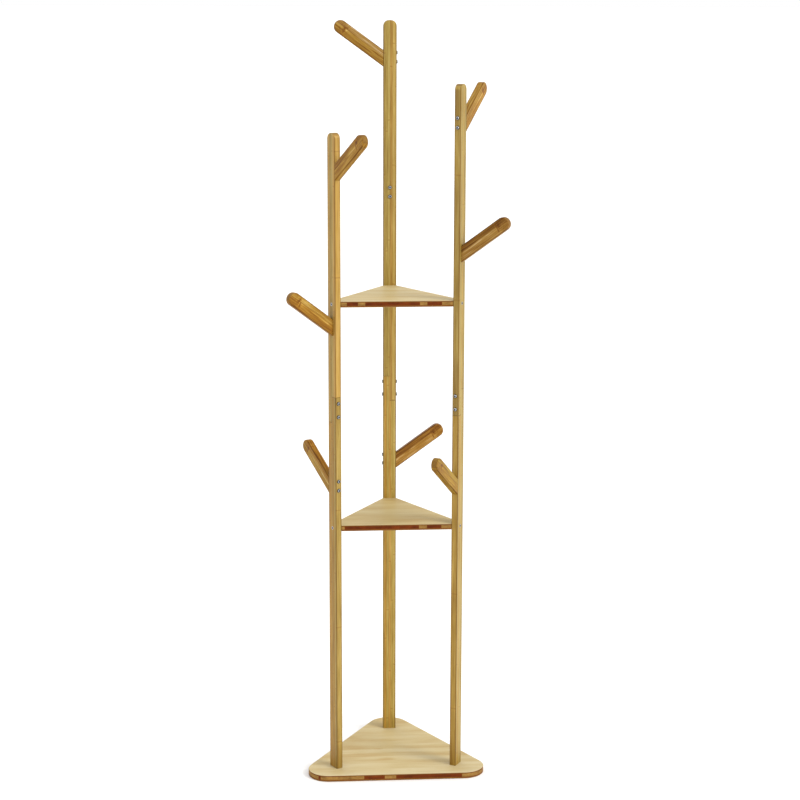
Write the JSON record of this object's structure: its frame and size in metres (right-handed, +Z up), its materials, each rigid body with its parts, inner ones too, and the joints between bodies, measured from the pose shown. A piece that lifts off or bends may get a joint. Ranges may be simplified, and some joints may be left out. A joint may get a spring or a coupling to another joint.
{
  "type": "standing coat rack",
  "caption": "Free-standing bamboo coat rack: three posts of different heights on a triangular base, two triangular shelves and slanted hooks all round.",
  "frame": {"origin": "centre of the triangular base, on its underside", "axes": "+Z up; +Y from the centre to the tallest post; +X to the right of someone who faces that post from the rack's front"},
  "size_m": [0.5154, 0.4971, 1.8001],
  "materials": {
    "bamboo_post": "satin lacquered laminated bamboo, fine upright strips",
    "bamboo_hook": "satin lacquered laminated bamboo, a darker honey tone",
    "bamboo_board": "satin lacquered three-layer bamboo board, pale faces and block core edges",
    "bolt_steel": "zinc plated steel",
    "insert_brass": "plain machined brass"
  },
  "bodies": {
    "root": {"back_lower_hook": "bamboo_hook", "back_lower_post": "bamboo_post", "back_outer_hook": "bamboo_hook", "back_top_hook": "bamboo_hook", "back_upper_post": "bamboo_post", "base_plate": "bamboo_board", "base_screws": "bolt_steel", "hook_bolts_long": "bolt_steel", "hook_bolts_short": "bolt_steel", "hook_inserts": "insert_brass", "left_lower_hook": "bamboo_hook", "left_lower_post": "bamboo_post", "left_outer_hook": "bamboo_hook", "left_top_hook": "bamboo_hook", "left_upper_post": "bamboo_post", "lower_shelf": "bamboo_board", "right_lower_hook": "bamboo_hook", "right_lower_post": "bamboo_post", "right_outer_hook": "bamboo_hook", "right_top_hook": "bamboo_hook", "right_upper_post": "bamboo_post", "shelf_screws": "bolt_steel", "splice_bolts": "bolt_steel", "splice_sleeve_nuts": "bolt_steel", "upper_shelf": "bamboo_board"}
  },
  "joints": []
}
